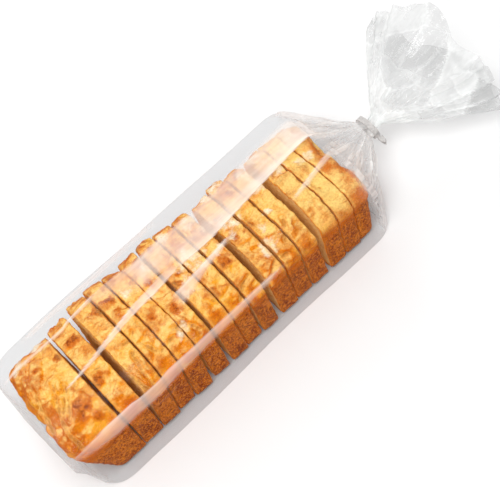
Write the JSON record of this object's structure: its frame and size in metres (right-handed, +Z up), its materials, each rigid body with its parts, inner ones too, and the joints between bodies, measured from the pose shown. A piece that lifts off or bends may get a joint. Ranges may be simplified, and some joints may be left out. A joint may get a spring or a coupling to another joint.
{
  "type": "sliced loaf in a bread bag",
  "caption": "Sliced tin loaf with a domed golden crust, lying in a clear film bread bag whose gathered neck is closed by a twist tie and opens into a ruffled flare.",
  "frame": {"origin": "under the middle of the whole bag, on the surface it lies on", "axes": "+X along the loaf from the bag's closed end to its neck and flare, -Y to the front, +Z up"},
  "size_m": [0.438, 0.1432, 0.0898],
  "materials": {
    "film": "clear, thin and crisp plastic film, milky where it is crinkled",
    "tie": "pale grey twist tie, plastic ribbon over a wire",
    "crust": "baked crust: blotchy golden dome with flour dust, red-brown tin sides with fine specks",
    "crumb": "soft open crumb, pale cream yellow"
  },
  "bodies": {
    "root": {"bag": "film", "twist_tie": "tie"}
  },
  "joints": []
}
